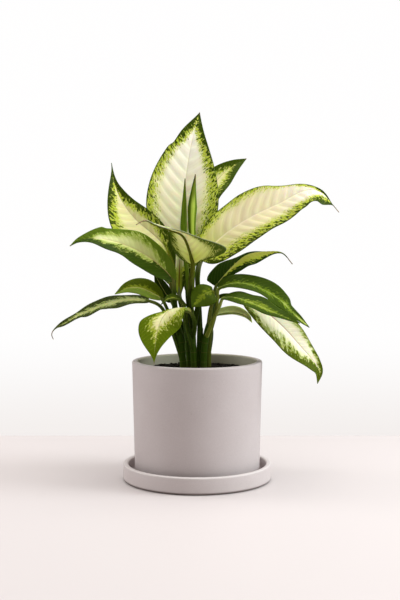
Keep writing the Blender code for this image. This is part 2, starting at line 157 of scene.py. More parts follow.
BLACK = (0.0, 0.0, 0.0)
CREAM = (0.94, 0.88, 0.61)
BUTTER = (0.76, 0.70, 0.26)
LIME = (0.49, 0.56, 0.055)
GREEN = (0.13, 0.20, 0.005)
DEEP = (0.046, 0.080, 0.003)
MARGIN = (0.12, 0.18, 0.005)
DARK_MARGIN = (0.042, 0.070, 0.003)
OLIVE = (0.20, 0.26, 0.008)
PINK_RIB = (0.52, 0.27, 0.16)
PALE_RIB = (0.60, 0.58, 0.20)
CREAM_RIB = (0.95, 0.88, 0.62)

# Stalk colours: stalks in the middle of the clump are painted darker and those at the front lighter, as painted
# shade and light
LOOK = dict(pale=CREAM, near=None, near_end=0.45, far=None, lime=LIME, green=GREEN, deep=DEEP, tip=0.1, base=0.1,
            rib=PALE_RIB, rib_size=1.0, feather=1.0, flare=0.0, specks=1.0, patches=0.35, dry=0.0, thread=0.0,
            ruffle=0.35, vein=1.0, veins=21, base_green=0.5, band=0.0, comb=1.0, edge=None, edge_size=1.5,
            stalk=(0.026, 0.048, 0.004), stalk_top=(0.055, 0.09, 0.006))

# Shared by the two green leaves that droop on the right
DROOPING = dict(green=(0.088, 0.145, 0.004), deep=(0.036, 0.066, 0.003), patches=0.9, vein=0.5, comb=0.5,
                rib_size=0.6)


def look(margins, **given):
    """How a leaf is marked.

    margins: the green share of each half, where 1 is all of it, or a list of shares from its base to its tip
    pale, near, far: the pale tissue in the middle, at the base up to near_end of the length, and at the tip
    green, deep: one colour, or a list with one for each half; some leaves' halves differ as painted light and shade
    flare: how much more the green runs along the veins towards the tip, and veins: how many there are
    tip, base: how much of the length is green at the ends
    feather, specks, patches: how far the green's edge runs along the veins, breaks up and wanders
    dry, thread: how much of the tip is dry, and thin as a thread
    ruffle: how far the edge ripples, and vein: how strongly the side veins show
    base_green: how far the green fills the base, and band: how strong the yellow band along the midrib is there
    comb: how closely the green's runs along the veins stand
    edge, edge_size: a painted highlight on the first half's edge, where it isn't dark, and the width of the edge's
    line
    """
    return dict(LOOK, margins=margins, **given)


SHAPE = dict(peak=0.42, full=(0.7, 1.05), fold=(24, 8), wave=0.0, nicks=())


def leaf(cane, foot, stalk, midrib, halves, face, marks, **given):
    """A leaf's lines, shape and look.

    cane, foot: the cane that it grows from, and how high up, where None is the cane's end
    halves: the greatest width of each half of the blade
    face: the ways that the blade's upper side looks, from its base to its tip
    peak, full: where along the blade a half is widest, and how fast its outline rises and falls
    fold: how many degrees the halves are folded up, from the base to the tip
    wave, nicks: how high the blade waves, and the notches in its outline: where, in which half, depth and length
    """
    return dict(SHAPE, cane=cane, foot=foot, stalk=stalk, midrib=midrib, halves=halves, face=face, marks=marks,
                **given)


LEAVES = {
    "tall_centre": leaf(
        "back", None, [(-18, 9, 203)],
        [(-20.7, 9, 215), (-20.3, 12, 258), (-18, 14, 300), (-13.5, 16, 350), (-6, 19, 395), (3, 25, 427)],
        (44, 41.5), [(0.05, -1, 0.1), (0.1, -1, 0.15), (0.15, -1, 0.1)],
        look(([0.11, 0.10, 0.08, 0.06], [0.16, 0.20, 0.16, 0.08]), pale=(1.0, 0.95, 0.68), near=(0.84, 0.87, 0.38),
             near_end=0.26, far=(1.0, 0.97, 0.80), green=[MARGIN, (0.085, 0.14, 0.004)], deep=DARK_MARGIN, tip=0.16,
             base=0.24, rib=CREAM_RIB, feather=0.5, flare=2.5, specks=2.0, patches=0.2, dry=0.008, base_green=1.3,
             band=1.0, veins=15),
        peak=0.5, full=(1.25, 1.12), fold=(28, 8, 4), wave=1.2, nicks=[(0.81, 0, 0.11, 0.02)]),
    "tall_left": leaf(
        "left", None, [(-25.5, -2, 200), (-27, -2, 222)],
        [(-28, -2, 243), (-38, -1, 272), (-50, 0, 285), (-69, 0, 301), (-84, 2, 319), (-95, 4, 342), (-99, 5, 369)],
        (34, 19), [(0.1, -1, 0.2), (0, -1, 0.3), (0.6, -1, 0.2)],
        look(([0.16, 0.17, 0.18, 0.16], [0.24, 0.36, 0.44, 0.5]), pale=(0.82, 0.79, 0.40), green=MARGIN,
             deep=DARK_MARGIN, tip=0.27, base=0.42, rib=CREAM_RIB, rib_size=0.6, specks=1.8, feather=0.5, flare=1.0,
             base_green=1.0, band=0.6, veins=16),
        peak=0.45, full=(1.3, 1.9), fold=(20, 14), wave=1.2),
    "behind_right": leaf(
        "back", 172, [(-9, 18, 194), (-11, 22, 215), (-11, 30, 255)],
        [(0, 40, 300), (12, 45, 335), (28, 50, 354), (43, 54, 366), (57, 58, 374)],
        (17, 21), [(-0.2, -1, 0.5), (-0.3, -1, 0.3)],
        look((0.46, 0.46), pale=(0.90, 0.87, 0.52), tip=0.24, feather=1.4, specks=0.8, dry=0.02),
        peak=0.45, fold=(20, 14), wave=0.8),
    "broad_right": leaf(
        "centre", 170, [(-1, -1, 192), (1.5, -2, 214), (1, -6, 238)],
        [(5, -8, 256), (28, -6, 283), (60, -4, 305), (95, -2, 322), (126, -2, 337), (143, -3, 335),
         (156, -3, 322), (164.5, -3, 312)],
        (31, 31), [(-0.3, -1, 0), (-0.3, -1, 0.4), (0.1, -0.8, 0.7), (0.4, -1, 0.4)],
        look(([0.16, 0.13, 0.10, 0.06, 0.02, -0.01, -0.05, -0.05, 0.3, 1.0, 1.1],
              [0.22, 0.26, 0.26, 0.22, 0.16, 0.35]),
             pale=(0.86, 0.79, 0.50), near=(0.58, 0.59, 0.15), near_end=0.33, far=(0.98, 0.94, 0.78),
             green=(0.11, 0.165, 0.005), deep=DARK_MARGIN, tip=0.15, base=0.12, rib=CREAM_RIB, feather=0.8,
             specks=1.8, patches=0.25, dry=0.05, thread=0.07, ruffle=0.7, veins=16),
        peak=[0.45, 0.34], full=[(0.6, 2.8), (0.6, 0.58)], fold=(10, 8), wave=1.5),
    # front_high's first half has a painted highlight along its edge
    "front_high": leaf(
        "centre", 178, [(-8.6, -16, 200), (-8, -19, 228)],
        [(-5, -19, 251), (-8, -26, 268), (-16, -38, 286), (-32, -57, 293), (-50, -74, 299), (-60, -83, 303),
         (-71, -92, 298)],
        (46, 24), [(0.2, 1, 0.4), (0.65, 0.65, 0.6), (0.65, 0.35, 0.8), (0.2, 0.1, 1)],
        look(([0.34, 0.46, 0.32, 0.42], 0.30), pale=(1.0, 0.99, 0.50), near=(0.68, 0.74, 0.08), near_end=0.32,
             lime=(0.36, 0.40, 0.05), green=(0.062, 0.112, 0.003), deep=(0.045, 0.086, 0.002), tip=0.18, base=0.03,
             rib=(0.19, 0.21, 0.008), rib_size=1.1, dry=0.14, thread=0.16, specks=0.25, patches=0.05,
             edge=(0.42, 0.44, 0.30), edge_size=2.6, vein=1.6, veins=17, stalk=(0.014, 0.03, 0.003),
             stalk_top=(0.075, 0.085, 0.006)),
        peak=[0.18, 0.27], full=[(5, 5), (1.5, 2.3)], fold=(0, 6), wave=0.8),
    # arching_left's second half is painted lighter, as lit and with painted sheen, and its first half darker, as
    # painted shade
    "arching_left": leaf(
        "left", 168, [(-25, -11.6, 187), (-27.5, -12.6, 212)],
        [(-28, -14, 232), (-42, -18, 249), (-66, -24, 266), (-92, -29, 277), (-120, -33, 282), (-138, -34, 279),
         (-148, -34, 273)],
        (24, 20), [(0.2, -1, 0.4), (-0.1, -1, 0.8), (-0.2, -0.8, 0.9)],
        look(([1.0, 0.88, 0.72, 0.60, 0.9], [0.95, 0.55, 0.28, 0.46, 1.0]), pale=(0.72, 0.76, 0.34),
             near=(0.30, 0.33, 0.06), near_end=0.55, far=(0.88, 0.90, 0.50), lime=(0.36, 0.44, 0.09),
             green=[(0.075, 0.125, 0.006), (0.27, 0.375, 0.045)],
             deep=[(0.034, 0.066, 0.004), (0.105, 0.17, 0.010)], tip=0.22, base=0.3, rib=(0.58, 0.38, 0.18),
             rib_size=0.5, feather=1.3, specks=0.4, patches=0.6, dry=0.015, ruffle=0.8, vein=0.5, comb=0.45),
        full=(0.85, 1.15), fold=(24, 14), wave=1.4, nicks=[(0.735, 1, -0.2, 0.035)]),
    # One half of lower_left is painted lighter, as a painted highlight, and the other darker, as painted shade
    "lower_left": leaf(
        "left", 158, [(-27, 6, 180), (-36, 8, 202)],
        [(-41, 8, 211), (-52, 9, 218), (-66, 10, 224), (-80, 10, 224), (-96, 9, 217)],
        (14, 14), [(-0.1, -0.8, 0.8), (-0.2, -0.7, 0.9)],
        look((1.0, 0.85), pale=(0.36, 0.42, 0.07), lime=(0.33, 0.40, 0.03), green=[(0.30, 0.42, 0.05), OLIVE],
             deep=[(0.19, 0.27, 0.03), (0.09, 0.13, 0.004)], tip=0.16, vein=0.5, comb=0.5),
        full=(0.85, 1), fold=(20, 10)),
    # drooping_left's pale stripe is greyed towards white, partly as painted sheen
    "drooping_left": leaf(
        "left", 138, [(-28.5, -5, 172), (-42, -11, 202)],
        [(-56, -14, 209), (-78, -17, 210), (-100, -19, 207), (-120, -21, 200), (-140, -22, 191), (-156, -23, 182),
         (-167, -23, 176), (-170, -23, 170), (-168, -23, 164)],
        (16, 11), [(-0.1, -0.5, 1), (-0.2, -0.6, 1), (-0.5, -0.5, 0.8)],
        look((0.66, 0.66), pale=(0.52, 0.58, 0.24), lime=(0.30, 0.35, 0.11), green=(0.10, 0.135, 0.02),
             deep=(0.042, 0.058, 0.008), tip=0.16, feather=1.6, patches=0.8, dry=0.10, thread=0.12, ruffle=1.0,
             vein=0.4, comb=0.4),
        peak=0.38, full=(0.6, 1.3), fold=(10, 12), wave=0.8, nicks=[(0.64, 0, 0.4, 0.05), (0.45, 0, 0.2, 0.04)]),
    "front_low": leaf(
        "centre", 165, [(-3, -18.5, 184)],
        [(-8, -25, 196), (-20, -36, 201), (-32, -46, 198), (-40, -52, 190), (-45, -56, 179), (-48.5, -60, 162),
         (-50.5, -63, 135)],
        (23, 22), [(0, 0, 1), (0, 0, 1), (0.1, -0.9, 0.25), (0, -1, 0.2), (-0.2, -1, 0.1)],
        look(([0.05, 0.22, 0.66, 0.9, 0.9], [0.5, 0.40, 0.46, 0.74, 0.8]), pale=(1.0, 0.98, 0.56),
             near=(0.62, 0.70, 0.10), near_end=0.35, lime=(0.38, 0.44, 0.045), green=(0.19, 0.27, 0.008),
             deep=(0.115, 0.175, 0.004), tip=0.24, base=0.06, rib_size=0.7, dry=0.03, specks=1.4),
        peak=[0.45, 0.6], full=[(1.2, 1.9), (8, 1.9)], fold=(2, 10), wave=0.8),
    # small_left is painted dark green, as painted shade
    "small_left": leaf(
        "back", 160, [(-22, 15, 192)],
        [(-30, 18, 208), (-38, 19, 220), (-50, 19, 241)],
        (8, 8), [(-0.2, -1, 0.4), (-0.2, -1, 0.4)],
        look((1.3, 1.3), green=(0.06, 0.10, 0.006), deep=(0.030, 0.055, 0.004))),
    "small_centre": leaf(
        "centre", 148, [(-12.6, -14.4, 178), (-14.4, -15.4, 190)],
        [(-15, -18, 201), (-18, -22, 208), (-25, -27, 212), (-34, -31, 211), (-42, -34, 205)],
        (8, 8), [(-0.1, -0.5, 1), (-0.3, -0.5, 1)],
        look((0.9, 0.9), pale=(0.36, 0.42, 0.05), lime=(0.22, 0.28, 0.02), green=(0.10, 0.15, 0.007),
             deep=(0.05, 0.08, 0.004))),
    # narrow_right is painted dark all over, its pale tissue too, as painted shade
    "narrow_right": leaf(
        "right", None, [(18.5, 5, 207)],
        [(22, 6, 226), (31, 6, 238), (42, 5.5, 250), (58, 4, 262.5), (80, 1, 266.5), (99, -3, 265), (111, -4, 252)],
        (19, 18), [(-0.5, -0.7, 0.5), (-0.4, -0.6, 0.8), (0.2, -0.6, 0.8)],
        look(([1.2, 1.2, 1.1], [0.85, 0.6, 0.34, 0.3, 0.4]), pale=(0.54, 0.57, 0.10), green=(0.055, 0.10, 0.003),
             deep=(0.020, 0.050, 0.003), tip=0.2, dry=0.10, thread=0.13, base=0.2, vein=0.6, rib_size=0.5),
        peak=[0.16, 0.47], full=[(0.5, 5), (1.7, 4)], fold=(12, -30), wave=0.6),
    "drooping_right": leaf(
        "right", 169, [(21.5, -2, 196), (23.5, -8, 211)],
        [(25, -13, 223), (38, -16, 229), (57, -18, 229), (81, -20, 220), (99, -21, 208), (116, -22, 191),
         (131, -22, 178)],
        (17, 18), [(0.1, -0.5, 1), (0.2, -0.6, 0.9), (0.4, -0.7, 0.6)],
        look(([1.0, 0.97, 0.93, 0.8, 0.55], [1.0, 0.97, 0.92, 0.75, 0.55]), pale=(0.28, 0.36, 0.06),
             far=(0.50, 0.56, 0.16), lime=(0.14, 0.205, 0.011), tip=0.02, feather=0.8, rib=(0.36, 0.44, 0.11),
             stalk=(0.13, 0.16, 0.016), stalk_top=(0.19, 0.23, 0.03), **DROOPING),
        peak=0.4, fold=(16, 10), wave=1.5, nicks=[(0.74, 0, 0.35, 0.05)]),
    "under_right": leaf(
        "front", 166, [(20, -20, 190), (26, -27, 203)],
        [(30, -31, 212), (44, -40, 213), (62, -48, 207), (81, -54, 199), (100, -58, 191), (120, -60, 183)],
        (15, 12), [(0.1, -0.5, 1), (0.2, -0.6, 0.9), (0.3, -0.7, 0.6)],
        look((0.98, 0.92), pale=(0.38, 0.44, 0.08), lime=(0.17, 0.23, 0.012), base=0.3, feather=0.9,
             rib=(0.36, 0.42, 0.11), stalk=(0.15, 0.18, 0.02), stalk_top=(0.22, 0.26, 0.05), **DROOPING),
        peak=[0.4, 0.3], full=[(0.7, 1.05), (0.4, 1)], fold=(8, 8), wave=1),
    "low_right": leaf(
        "right", 158, [(15.5, 12, 182), (18, 13, 203), (26, 12.5, 214), (40, 10, 215.5)],
        [(54, 7, 210), (81, 1, 195), (100, -4, 179), (119, -8, 158), (137, -11, 137), (143, -12, 126),
         (141, -12, 112)],
        (16, 25), [(0.2, -0.9, 0.7), (0.35, -1, 0.4), (0.4, -1, 0.1)],
        look(([0.12, 0.17, 0.12, 0.10, 0.35], [0.26, 0.32, 0.42, 0.50, 0.75]), pale=(1.0, 0.98, 0.74),
             near=(0.78, 0.78, 0.36), near_end=0.3, lime=(0.36, 0.43, 0.11), green=(0.165, 0.215, 0.010),
             deep=(0.085, 0.120, 0.005), tip=0.19, base=0.16, rib=PINK_RIB, rib_size=0.8, feather=1.9, specks=0.7,
             vein=0.5, comb=0.5),
        full=(0.75, 1.05), fold=(14, 8), wave=1.2),
    "small_front": leaf(
        "front", 180, [(15.5, -13, 198), (18.5, -18, 211)],
        [(18, -20, 220), (10, -28, 218), (2, -35, 211), (-6, -42, 202)],
        (18, 14), [(-0.1, -1, 0.6), (-0.1, -1, 0.4)],
        look((0.9, 1.0), pale=(0.23, 0.27, 0.022), lime=(0.155, 0.205, 0.009), green=(0.12, 0.17, 0.005),
             deep=(0.050, 0.082, 0.003), vein=0.4, patches=0.9, comb=0.5, rib=(0.20, 0.22, 0.025), rib_size=0.5,
             ruffle=1.2, stalk=(0.10, 0.12, 0.014), stalk_top=(0.15, 0.17, 0.025)),
        fold=(8, 4)),
    "back_low": leaf(
        "right", 140, [(17, 17, 172)],
        [(15, 26, 189.5), (29, 34, 195), (46, 42, 195.5), (58, 47, 191), (64, 50, 184)],
        (11, 12), [(-0.1, 0.6, 1), (0.3, 0.6, 0.7)],
        look((0.8, 0.8), pale=(0.62, 0.67, 0.28), lime=(0.46, 0.52, 0.18), green=(0.60, 0.68, 0.24),
             deep=(0.40, 0.47, 0.14), vein=0.6),
        fold=(14, 8)),
    "back_high": leaf(
        "back", 156, [(-4, 20, 180), (-9, 28, 212)],
        [(-16, 36, 236), (-20, 52, 268), (-25, 78, 294), (-26, 104, 300), (-24, 126, 290)],
        (27, 27), [(0, 0.3, 1), (0, 0.5, 1), (0, 0.9, 0.6)],
        look((0.25, 0.25), specks=1.3), fold=(20, 10), wave=1.2),
    "back_left": leaf(
        "back", 140, [(-19, 20, 175), (-26, 30, 205)],
        [(-31, 34, 228), (-42, 46, 250), (-58, 64, 265), (-74, 82, 272), (-88, 96, 268)],
        (21, 21), [(-0.2, 0.2, 1), (-0.3, 0.3, 1), (-0.4, 0.5, 0.8)],
        look((0.3, 0.3), rib=PINK_RIB, rib_size=0.7), fold=(14, 8), wave=1),
    "back_right": leaf(
        "rear", None, [(2.5, 14, 200), (0.5, 19, 222), (0, 25, 243)],
        [(5, 32, 264), (20, 43, 285), (42, 62, 304), (68, 84, 315), (92, 98, 316)],
        (23, 23), [(0.2, 0.2, 1), (0.2, 0.4, 1), (0.4, 0.6, 0.8)],
        look((0.22, 0.28), specks=1.2), fold=(16, 8), wave=1),
}

# turn is a new leaf's turn about its line. Its marks are a painted highlight streak's colour, ends and sides, and a
# dark seam
SPEARS = {
    "left": dict(
        cane="back", foot=180, turn=-0.6,
        line=[(-9.5, 2, 203), (-11, -1, 232), (-14, -1, 265), (-15.5, 0, 295), (-15, 0, 320), (-14, 0, 351)],
        radii=[2, 2, 2.2, 3, 4, 3, 0.5],
        highlight_streak=(0.24, 0.34, 0.05), ends=(0.5, 0.8), sides=(3.2, 6.0), seam=2.2),
    "right": dict(
        cane="centre", foot=None, turn=0.9,
        line=[(-6, -5, 210), (-5, -2, 232), (-4, 0, 262), (-6, 0, 295), (-5.5, 0, 318), (-4, 0, 338), (-2, 1, 356)],
        radii=[2.4, 2.2, 2.2, 2.6, 4.4, 5.6, 3, 0.5],
        highlight_streak=(0.42, 0.55, 0.08), ends=(0.62, 0.78), sides=(-1.0, 2.4), seam=-3.4),
}


def cane_line(name):
    low, high, reading = CANES[name]
    places = smooth_line([sight(place) for place in reading])
    root = [places[0][0], places[0][1], CANE_ROOT_UP]
    line = np.concatenate([[root], places])
    return line, np.interp(distances(line), [0, distances(line)[-1]], [low, high])


def foot_place(cane, foot):
    line, _ = cane_line(cane)
    if foot is None:
        out = line[-1] - line[-2]
        return line[-1] - out / np.linalg.norm(out) * TIP_SINK
    return np.array([np.interp(foot, line[:, 2], line[:, k]) for k in range(3)])


def leaf_lines(spec):
    stalk = [foot_place(spec["cane"], spec["foot"])] + [sight(place) for place in spec["stalk"]]
    line = smooth_line(stalk + [sight(place) for place in spec["midrib"]])
    base = len(stalk) * LINE_STEPS
    return line[:base + 1], line[base:]


def blade_frames(spec, share):
    """Places on the midrib, the way that the upper side looks there, and the way to the second half."""
    _, line = leaf_lines(spec)
    rib = along_line(line, share)
    forward = unit(np.gradient(rib, axis=0))
    face = between(unit(np.array(spec["face"], float)), share)
    face = unit(face - (face * forward).sum(axis=1)[:, None] * forward)
    return rib, face, np.cross(forward, face)


def of_half(given, half):
    return given[half] if isinstance(given, list) else given


def half_width(spec, share, half):
    peak = of_half(spec["peak"], half)
    bend = math.log(0.5) / math.log(peak)
    swell = np.sin(np.pi * np.clip(share, 1e-6, 1 - 1e-6) ** bend)
    before, after = of_half(spec["full"], half)
    shape = np.where(share < peak, swell ** before, swell ** after)
    least = BASE_HALF_WIDTH + (TIP_HALF_WIDTH - BASE_HALF_WIDTH) * share
    width = least + (spec["halves"][half] - least) * shape
    thread = spec["marks"]["thread"]
    if thread:
        width = TIP_HALF_WIDTH + (width - TIP_HALF_WIDTH) * (1 - ease(1 - thread * 1.5, 1 - thread * 0.7, share))
    for place, side, depth, size in spec["nicks"]:
        if side == half:
            ahead = (share - place) / size
            width = width * (1 - depth * np.exp(-np.where(ahead > 0, ahead ** 2 * 0.1, ahead ** 2 * 2)))
    return width


def neck_radius(spec):
    return 1.5 + max(spec["halves"]) / 40


def rib_radius(spec, share):
    return neck_radius(spec) * (0.2 + 0.8 * (1 - share) ** 0.9)


# Meshes

def make_object(name, points, faces, materials, slots=None, attributes=None, smooth=True):
    """An object from points in millimetres. attributes holds named vectors, one for each point."""
    mesh = bpy.data.meshes.new(name)
    mesh.from_pydata((np.asarray(points) * MM).tolist(), [], faces)
    if slots is not None:
        mesh.polygons.foreach_set("material_index", np.asarray(slots, np.int32))
    for key, values in (attributes or {}).items():
        layer = mesh.attributes.new(key, "FLOAT_VECTOR", "POINT")
        layer.data.foreach_set("vector", np.asarray(values, np.float32).ravel())
    for material in materials:
        mesh.materials.append(material)
    mesh.validate()
    if smooth:
        mesh.shade_smooth()
    made = bpy.data.objects.new(name, mesh)
    bpy.context.scene.collection.objects.link(made)
    return made


def grid_faces(rows, columns, start=0, flip=False, wrap=False):
    """Faces of a grid whose points run row by row. With wrap its last column joins its first."""
    across = columns if wrap else columns - 1
    i, j = np.meshgrid(np.arange(rows - 1), np.arange(across), indexing="ij")
    k = (j + 1) % columns
    faces = np.stack([i * columns + j, i * columns + k, (i + 1) * columns + k, (i + 1) * columns + j], axis=-1)
    faces = faces.reshape(-1, 4) + start
    return (faces[:, ::-1] if flip else faces).tolist()


def as_vectors(*values):
    """One vector for each point of a grid, from three values that run along it, across it or both."""
    return np.stack(np.broadcast_arrays(*values), axis=-1).reshape(-1, 3)


def stands_for(piece, slot, *nodes):
    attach(piece, "root")
    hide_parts(*nodes)


# Blades

def blade_surface(name, spec):
    """The blade's two skins and its rim, with the coordinates that its marks are drawn in."""
    marks = spec["marks"]
    _, line = leaf_lines(spec)
    length = distances(line)[-1]
    rows = int(np.clip(length / ROW_STEP, 30, 150))
    columns = 2 * int(np.clip(max(spec["halves"]) / COLUMN_STEP, 8, 24))
    even = np.linspace(0, 1, rows + 1)
    share = 0.7 * even + 0.15 * (1 - np.cos(np.pi * even))
    rib, face, side = blade_frames(spec, share)
    fold = np.radians(between(spec["fold"], share)[:, :1])
    first_margin, second_margin = [between(given, share)[:, :1] for given in marks["margins"]]
    share = share[:, None]

    # v runs from -1 at the first half's edge to 1 at the second's
    v = np.linspace(-1, 1, columns + 1)
    v = np.sign(v) * np.abs(v) ** 1.2
    second = v > 0
    widths = np.where(second, half_width(spec, share, 1), half_width(spec, share, 0))
    reach = widths * np.abs(v)
    bell = np.sin(np.pi * share)
    ripple = np.sin(5 * np.pi * share + second * RIPPLE_SHIFT) * bell
    seed = sum(map(ord, name)) % 17
    fine = np.sin(length / 11 * share * 2 + seed + second * 2.1) + 0.6 * np.sin(length / 6.3 * share + seed)
    rise = reach * np.sin(fold) + spec["wave"] * v ** 2 * ripple
    rise = rise + marks["ruffle"] * np.abs(v) ** 3 * fine * bell
    run = reach * np.cos(fold) * np.sign(v)
    middle = rib[:, None] + side[:, None] * run[..., None] + face[:, None] * rise[..., None]
    normal = unit(np.cross(np.gradient(middle, axis=1), np.gradient(middle, axis=0)))

    # The tissue between the side veins is raised
    vein = share * length - VEIN_LEAN * reach - VEIN_CURVE * reach ** 2 / max(spec["halves"])
    spacing = max(length / marks["veins"], LEAST_VEIN_SPACING)
    crest = np.abs(np.sin(np.pi * vein / spacing)) ** 0.8
    fade = ease(0, 0.2, np.abs(v)) * ease(1.0, 0.75, np.abs(v)) * bell ** 0.5
    relief = 0.055 * spacing * (crest - 0.6) * fade

    # The midrib is a groove above and a keel below
    rib_size = rib_radius(spec, share)
    groove = 0.2 * rib_size * np.exp(-(reach / (0.45 * rib_size)) ** 2)
    keel = 0.25 * rib_size * np.exp(-(reach / (0.8 * rib_size)) ** 2)
    thick = 0.28 + 0.22 * (1 - np.abs(v)) ** 1.5
    upper = middle + normal * (thick + relief - groove)[..., None]
    under = middle + normal * (-thick + relief - groove - keel)[..., None]

    count = (rows + 1) * (columns + 1)
    points = np.concatenate([upper.reshape(-1, 3), under.reshape(-1, 3)])
    high = grid_faces(rows + 1, columns + 1)
    low = grid_faces(rows + 1, columns + 1, start=count, flip=True)
    index = np.arange(count).reshape(rows + 1, columns + 1)
    loop = np.concatenate([index[0, :-1], index[:-1, -1], index[-1, :0:-1], index[:0:-1, 0]])
    rim = [[b, a, a + count, b + count] for a, b in zip(loop.tolist(), np.roll(loop, -1).tolist())]
    slots = [0] * len(high) + [1] * len(low) + [0] * len(rim)

    coordinates = {
        "place": as_vectors(share, v, reach / np.maximum(rib_size, 0.1)),
        "measure": as_vectors(vein, reach * np.sign(v), widths - reach),
        "grain": as_vectors(vein / spacing, np.where(second, second_margin, first_margin), reach),
    }
    coordinates = {key: np.concatenate([value, value]) for key, value in coordinates.items()}
    return points, high + low + rim, slots, coordinates


# Stalks

def swept(line, radii, upper, shape):
    """Rings of points round a line. upper is the way that angle zero looks, and shape gives each ring's form."""
    forward = unit(np.gradient(line, axis=0))
    upper = unit(upper - (upper * forward).sum(axis=1)[:, None] * forward)
    side = np.cross(forward, upper)
    rings = []
    for i in range(len(line)):
        r = radii[i] * shape(i / (len(line) - 1), ANGLES)
        rings.append(line[i] + np.outer(r * np.cos(ANGLES), upper[i]) + np.outer(r * np.sin(ANGLES), side[i]))
    return np.array(rings)


def closed_tube(rings, start, slot):
    """Points, faces and slots of rings that are closed at both ends."""
    count, sides = rings.shape[:2]
    points = np.concatenate([rings.reshape(-1, 3), rings[0].mean(axis=0)[None], rings[-1].mean(axis=0)[None]])
    faces = grid_faces(count, sides, start=start, flip=True, wrap=True)
    first, last = start + count * sides, start + count * sides + 1
    faces += [[first, start + (k + 1) % sides, start + k] for k in range(sides)]
    end = start + (count - 1) * sides
    faces += [[end + k, end + (k + 1) % sides, last] for k in range(sides)]
    return points, faces, [slot] * len(faces)


def tube_vectors(*values):
    """One vector for each point of a closed tube, its two end points last."""
    made = as_vectors(*values)
    return np.concatenate([made, made[:1], made[-1:]])


def stalk_surface(spec, start):
    """The stalk, which runs on as the keel under the midrib."""
    stalk, _ = leaf_lines(spec)
    share = np.linspace(0, 1, int(np.clip(distances(stalk)[-1] / STALK_STEP, 12, 45)) + 1)
    low = along_line(stalk, share)
    low_radii = neck_radius(spec) + STALK_SWELL * (1 - share)
    on = np.linspace(0, 1, KEEL_ROWS)
    rib, face, _ = blade_frames(spec, on)
    keep = (on > 0.005) & (on < 0.93)
    taper = rib_radius(spec, on)
    sunk_radii = taper * (0.95 - 0.3 * ease(0, 0.15, on))
    depth = (sunk_radii + 0.3 * taper) * ease(0.0, 0.08, on) + 0.1
    sunk = rib - face * depth[:, None]
    line = np.concatenate([low, sunk[keep]])
    radii = np.concatenate([low_radii, sunk_radii[keep]])
    upper = np.concatenate([np.repeat(face[:1], len(low), axis=0), face[keep]])
    edge = len(low) / len(line)

    def shape(t, angle):
        near = np.minimum(angle, 2 * np.pi - angle)
        on_stalk = 1 - ease(edge * 0.85, edge, t)
        wings = 1 - ease(edge * 0.35, edge * 0.6, t)
        groove = -0.28 * np.exp(-(near / 0.45) ** 2) * on_stalk
        ridge = 0.16 * np.exp(-((near - 0.85) / 0.28) ** 2) * wings
        return 1 + groove + ridge

    points, faces, slots = closed_tube(swept(line, radii, upper, shape), start, 2)
    climb = np.concatenate([share, np.ones(keep.sum())])[:, None]
    place = tube_vectors(climb, ANGLES, ease(0.8, 1.0, climb))
    measure = tube_vectors(distances(line)[:, None], STALK_MARKS * np.sin(ANGLES), STALK_MARKS * np.cos(ANGLES))
    return points, faces, slots, {"place": place, "measure": measure, "grain": measure}


# Node materials

class Output:
    """What a node gives. Sums, products and ramps of it are nodes too."""

    def __init__(self, paint, socket):
        self.paint = paint
        self.socket = socket

    def __add__(self, other):
        return self.paint.math("ADD", self, other)

    def __sub__(self, other):
        return self.paint.math("SUBTRACT", self, other)

    def __rsub__(self, other):
        return self.paint.math("SUBTRACT", other, self)

    def __mul__(self, other):
        return self.paint.math("MULTIPLY", self, other)

    def __abs__(self):
        return self.paint.math("ABSOLUTE", self)

    def ramp(self, low, high, to_low=0.0, to_high=1.0):
        inputs = {"Value": self, "From Min": low, "From Max": high, "To Min": to_low, "To Max": to_high}
        return self.paint.out("Result", "MapRange", inputs, interpolation_type="SMOOTHSTEP")


class Paint:
    """Short calls for the nodes of a material or of the world."""

    def __init__(self, tree):
        self.tree = tree

    def set(self, socket, value):
        if isinstance(value, Output):
            self.tree.links.new(value.socket, socket)
        elif isinstance(value, tuple) and len(value) == 3 and socket.type == "RGBA":
            socket.default_value = (*value, 1.0)
        else:
            socket.default_value = value

    def node(self, kind, inputs=(), **settings):
        made = self.tree.nodes.new("ShaderNode" + kind)
        for key, value in settings.items():
            setattr(made, key, value)
        for key, value in dict(inputs).items():
            self.set(made.inputs[key], value)
        return made

    def out(self, output, kind, inputs=(), **settings):
        return Output(self, self.node(kind, inputs, **settings).outputs[output])

    def math(self, operation, a, b=0.0, clamp=False):
        return self.out(0, "Math", {0: a, 1: b}, operation=operation, use_clamp=clamp)

    def mix(self, share, a, b, blend="MIX"):
        made = self.node("Mix", data_type="RGBA", blend_type=blend)
        self.set(made.inputs["Factor"], share)
        for socket, colour in zip([socket for socket in made.inputs if socket.type == "RGBA"], (a, b)):
            self.set(socket, colour)
        return Output(self, next(socket for socket in made.outputs if socket.type == "RGBA"))

    def parts(self, vector):
        """The three numbers of a vector, or of the mesh's vectors of that name."""
        if isinstance(vector, str):
            vector = self.out("Vector", "Attribute", attribute_name=vector)
        return [Output(self, socket) for socket in self.node("SeparateXYZ", {"Vector": vector}).outputs]

    def noise(self, vector, scale=1.0, detail=2.0, roughness=0.5):
        inputs = {"Vector": vector, "Scale": scale, "Detail": detail, "Roughness": roughness}
        return self.out("Fac", "TexNoise", inputs)

    def grain(self, x, y, z, **settings):
        return self.noise(self.out("Vector", "CombineXYZ", {"X": x, "Y": y, "Z": z}), **settings)

    def bump(self, height, distance, strength, **under):
        inputs = {"Height": height, "Distance": distance, "Strength": strength, **under}
        return self.out("Normal", "Bump", inputs)


class Skin(Paint):
    """A material whose surface is one shader."""

    def __init__(self, name):
        self.material = bpy.data.materials.new(name)
        self.material.use_nodes = True
        super().__init__(self.material.node_tree)

    def finish(self, **inputs):
        for key, value in inputs.items():
            self.set(self.tree.nodes["Principled BSDF"].inputs[key.replace("_", " ")], value)
        return self.material


